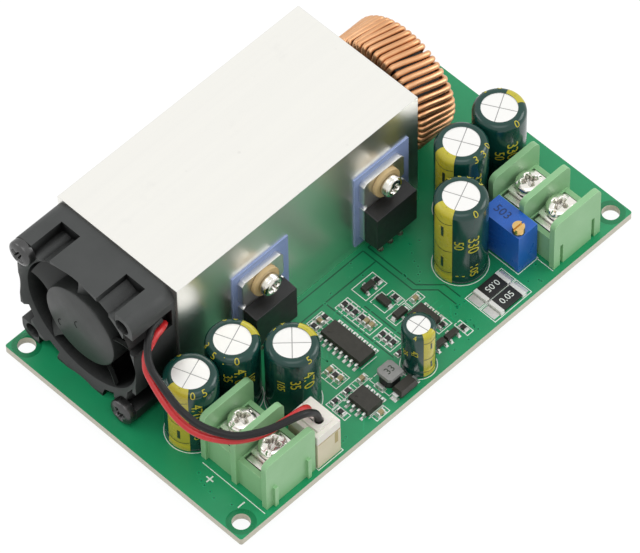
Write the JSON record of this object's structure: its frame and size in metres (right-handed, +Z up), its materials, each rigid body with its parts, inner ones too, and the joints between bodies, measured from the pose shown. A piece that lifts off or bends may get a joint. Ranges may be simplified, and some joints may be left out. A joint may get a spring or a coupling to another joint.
{
  "type": "buck converter module",
  "caption": "Step-down converter board with fan-cooled tunnel heat sink, two power transistors, toroidal choke, electrolytic capacitors and screw terminals.",
  "frame": {"origin": "centre of the four mounting holes, on the board's underside", "axes": "+X along the board from the input and fan end to the output and choke end, +Y towards the heat sink's edge, +Z up out of the board's component side"},
  "size_m": [0.1, 0.06, 0.0337],
  "materials": {
    "solder_mask": "satin",
    "solder": "bright",
    "bare_aluminium": "mill finish",
    "zinc_screw": "bright",
    "fan_plastic": "fine moulded",
    "shaft_steel": "ground",
    "sintered_bronze": "satin",
    "lamination": "satin",
    "magnet": "matt",
    "black_screw": "blackened",
    "epoxy": "moulded",
    "tinned_copper": "satin",
    "silicone_pad": "matt",
    "fibre_bush": "satin",
    "ferrite": "coated",
    "copper_wire": "enamelled",
    "can": "bright",
    "sleeve": "shrunk film",
    "bung": "matt",
    "green_plastic": "moulded",
    "nickel": "bright",
    "blue_plastic": "moulded",
    "brass": "turned",
    "thick_film": "glazed",
    "chip_ceramic": "matt",
    "ivory_plastic": "moulded",
    "white_plastic": "moulded",
    "red_insulation": "smooth",
    "black_insulation": "smooth"
  },
  "bodies": {
    "module": {"circuit_board": "solder_mask", "solder_joints": "solder", "heat_sink": "bare_aluminium", "heat_sink_screws": "zinc_screw", "fan_frame": "fan_plastic", "fan_bearing": "sintered_bronze", "fan_stator": "lamination", "fan_screws": "black_screw", "transistor_case_in": "epoxy", "transistor_case_out": "epoxy", "transistor_tab_in": "tinned_copper", "transistor_tab_out": "tinned_copper", "insulating_pads": "silicone_pad", "insulating_bushes": "fibre_bush", "transistor_screws": "zinc_screw", "choke_core": "ferrite", "choke_winding": "copper_wire", "capacitor_can_a": "can", "capacitor_can_b": "can", "capacitor_can_c": "can", "capacitor_can_d": "can", "capacitor_can_e": "can", "capacitor_can_f": "can", "capacitor_can_g": "can", "capacitor_sleeve_a": "sleeve", "capacitor_sleeve_b": "sleeve", "capacitor_sleeve_c": "sleeve", "capacitor_sleeve_d": "sleeve", "capacitor_sleeve_e": "sleeve", "capacitor_sleeve_f": "sleeve", "capacitor_sleeve_g": "sleeve", "capacitor_bungs": "bung", "capacitor_leads": "tinned_copper", "input_block": "green_plastic", "output_block": "green_plastic", "input_contacts": "nickel", "output_contacts": "nickel", "trimmer_case": "blue_plastic", "trimmer_pins": "tinned_copper", "shunt_resistors": "thick_film", "ic_bodies": "epoxy", "power_inductor": "ferrite", "small_semiconductors": "epoxy", "smd_leads": "tinned_copper", "chip_resistors": "thick_film", "chip_capacitors": "chip_ceramic", "chip_ends": "solder", "fan_header": "ivory_plastic", "fan_header_pins": "tinned_copper", "fan_plug": "white_plastic", "fan_wire_red": "red_insulation", "fan_wire_black": "black_insulation"},
    "rotor": {"fan_impeller": "fan_plastic", "fan_shaft": "shaft_steel", "fan_magnet": "magnet"},
    "trimmer_adjuster": {"trimmer_screw": "brass"},
    "input_clamp_front": {"input_screw_front": "nickel"},
    "input_clamp_back": {"input_screw_back": "nickel"},
    "output_clamp_front": {"output_screw_front": "nickel"},
    "output_clamp_back": {"output_screw_back": "nickel"}
  },
  "joints": [
    {"name": "fan_spin", "type": "hinge", "parent": "module", "child": "rotor", "pos_m": [-0.035, 0.0153, 0.0163], "axis": [-1, 0, 0], "continuous": true},
    {"name": "trimmer_turn", "type": "hinge", "parent": "module", "child": "trimmer_adjuster", "pos_m": [0.02698, -0.0232, 0.0116], "axis": [0, 0, 1], "continuous": true},
    {"name": "input_clamp_front_lift", "type": "slide", "parent": "module", "child": "input_clamp_front", "axis": [0, 0, 1], "range_m": [0, 0.002]},
    {"name": "input_clamp_back_lift", "type": "slide", "parent": "module", "child": "input_clamp_back", "axis": [0, 0, 1], "range_m": [0, 0.002]},
    {"name": "output_clamp_front_lift", "type": "slide", "parent": "module", "child": "output_clamp_front", "axis": [0, 0, 1], "range_m": [0, 0.002]},
    {"name": "output_clamp_back_lift", "type": "slide", "parent": "module", "child": "output_clamp_back", "axis": [0, 0, 1], "range_m": [0, 0.002]}
  ]
}
